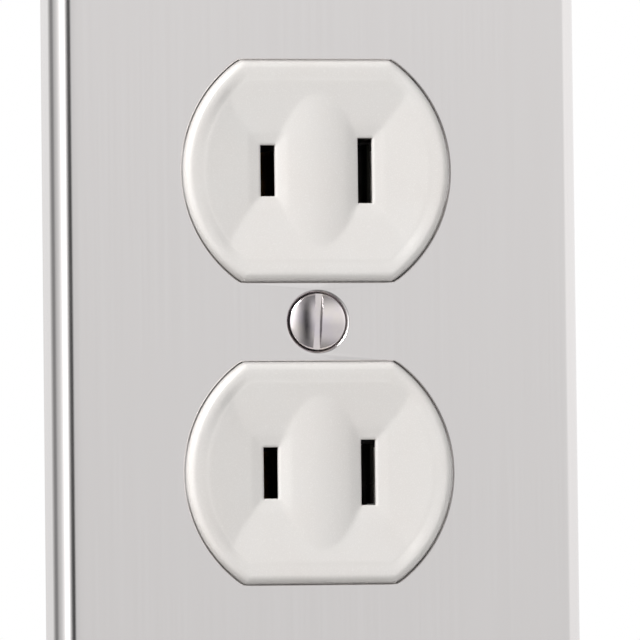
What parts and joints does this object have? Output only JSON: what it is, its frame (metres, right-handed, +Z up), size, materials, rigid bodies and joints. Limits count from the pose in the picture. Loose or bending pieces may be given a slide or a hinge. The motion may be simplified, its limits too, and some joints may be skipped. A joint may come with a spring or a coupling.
{
  "type": "duplex wall outlet",
  "caption": "Duplex wall receptacle with blade slots in rounded white faces, a bevelled stainless steel plate with a central oval-head screw, a mounting strap and side screw terminals.",
  "frame": {"origin": "on the plate screw's axis, in the wall plane that the plate's rim and the strap's ears rest on", "axes": "+X to the right seen from the front, +Y into the wall box, +Z up; the front faces -Y"},
  "size_m": [0.0698, 0.0308, 0.1142],
  "materials": {
    "stainless_steel": "satin, with bright bevelled edges",
    "bright_nickel": "bright nickel plate",
    "white_plastic": "glossy moulded",
    "base_plastic": "moulded, semi-gloss",
    "zinc_steel": "zinc plated",
    "brass": "stamped",
    "plated_brass": "nickel plated",
    "vulcanised_fibre": "pressed fibre"
  },
  "bodies": {
    "receptacle": {"mounting_strap": "zinc_steel", "face_cover": "white_plastic", "body_base": "base_plastic", "hot_contact_strip": "brass", "neutral_contact_strip": "plated_brass", "assembly_rivet_upper_left": "zinc_steel", "assembly_rivet_upper_right": "zinc_steel", "assembly_rivet_lower_left": "zinc_steel", "assembly_rivet_lower_right": "zinc_steel"},
    "wall_plate": {"wall_plate": "stainless_steel"},
    "plate_screw": {"plate_screw": "bright_nickel"},
    "clamp_plate_hot_upper": {"clamp_plate_hot_upper": "brass"},
    "terminal_screw_hot_upper": {"terminal_screw_hot_upper": "brass"},
    "clamp_plate_hot_lower": {"clamp_plate_hot_lower": "brass"},
    "terminal_screw_hot_lower": {"terminal_screw_hot_lower": "brass"},
    "clamp_plate_neutral_upper": {"clamp_plate_neutral_upper": "plated_brass"},
    "terminal_screw_neutral_upper": {"terminal_screw_neutral_upper": "plated_brass"},
    "clamp_plate_neutral_lower": {"clamp_plate_neutral_lower": "plated_brass"},
    "terminal_screw_neutral_lower": {"terminal_screw_neutral_lower": "plated_brass"},
    "screw_retainer_upper": {"screw_retainer_upper": "vulcanised_fibre"},
    "mounting_screw_upper": {"mounting_screw_upper": "zinc_steel"},
    "screw_retainer_lower": {"screw_retainer_lower": "vulcanised_fibre"},
    "mounting_screw_lower": {"mounting_screw_lower": "zinc_steel"}
  },
  "joints": [
    {"name": "wall_plate_lift", "type": "slide", "parent": "receptacle", "child": "wall_plate", "axis": [0, -1, 0], "range_m": [0, 0.008]},
    {"name": "plate_screw_turn", "type": "hinge", "parent": "wall_plate", "child": "plate_screw", "pos_m": [0, -0.0056, 0], "axis": [0, -1, 0], "range_deg": [0, 3630]},
    {"name": "clamp_plate_hot_upper_travel", "type": "slide", "parent": "receptacle", "child": "clamp_plate_hot_upper", "axis": [-1, 0, 0], "range_m": [0, 0.0025]},
    {"name": "terminal_screw_hot_upper_turn", "type": "hinge", "parent": "clamp_plate_hot_upper", "child": "terminal_screw_hot_upper", "pos_m": [-0.0159, 0.0105, 0.0115], "axis": [-1, 0, 0], "range_deg": [0, 1135]},
    {"name": "clamp_plate_hot_lower_travel", "type": "slide", "parent": "receptacle", "child": "clamp_plate_hot_lower", "axis": [-1, 0, 0], "range_m": [0, 0.0025]},
    {"name": "terminal_screw_hot_lower_turn", "type": "hinge", "parent": "clamp_plate_hot_lower", "child": "terminal_screw_hot_lower", "pos_m": [-0.0159, 0.0105, -0.0115], "axis": [-1, 0, 0], "range_deg": [0, 1135]},
    {"name": "clamp_plate_neutral_upper_travel", "type": "slide", "parent": "receptacle", "child": "clamp_plate_neutral_upper", "axis": [1, 0, 0], "range_m": [0, 0.0025]},
    {"name": "terminal_screw_neutral_upper_turn", "type": "hinge", "parent": "clamp_plate_neutral_upper", "child": "terminal_screw_neutral_upper", "pos_m": [0.0159, 0.0105, 0.0115], "axis": [1, 0, 0], "range_deg": [0, 1135]},
    {"name": "clamp_plate_neutral_lower_travel", "type": "slide", "parent": "receptacle", "child": "clamp_plate_neutral_lower", "axis": [1, 0, 0], "range_m": [0, 0.0025]},
    {"name": "terminal_screw_neutral_lower_turn", "type": "hinge", "parent": "clamp_plate_neutral_lower", "child": "terminal_screw_neutral_lower", "pos_m": [0.0159, 0.0105, -0.0115], "axis": [1, 0, 0], "range_deg": [0, 1135]},
    {"name": "screw_retainer_upper_float", "type": "slide", "parent": "receptacle", "child": "screw_retainer_upper", "axis": [1, 0, 0], "range_m": [-0.0015, 0.0015]},
    {"name": "mounting_screw_upper_turn", "type": "hinge", "parent": "screw_retainer_upper", "child": "mounting_screw_upper", "pos_m": [0, -0.0019, 0.04165], "axis": [0, -1, 0], "continuous": true},
    {"name": "screw_retainer_lower_float", "type": "slide", "parent": "receptacle", "child": "screw_retainer_lower", "axis": [1, 0, 0], "range_m": [-0.0015, 0.0015]},
    {"name": "mounting_screw_lower_turn", "type": "hinge", "parent": "screw_retainer_lower", "child": "mounting_screw_lower", "pos_m": [0, -0.0019, -0.04165], "axis": [0, -1, 0], "continuous": true}
  ],
  "couplings": [
    {"joint": "plate_screw_turn", "follows": "wall_plate_lift", "rad_per_m": 7915.8},
    {"joint": "terminal_screw_hot_upper_turn", "follows": "clamp_plate_hot_upper_travel", "rad_per_m": 7915.8},
    {"joint": "terminal_screw_hot_lower_turn", "follows": "clamp_plate_hot_lower_travel", "rad_per_m": 7915.8},
    {"joint": "terminal_screw_neutral_upper_turn", "follows": "clamp_plate_neutral_upper_travel", "rad_per_m": 7915.8},
    {"joint": "terminal_screw_neutral_lower_turn", "follows": "clamp_plate_neutral_lower_travel", "rad_per_m": 7915.8}
  ]
}
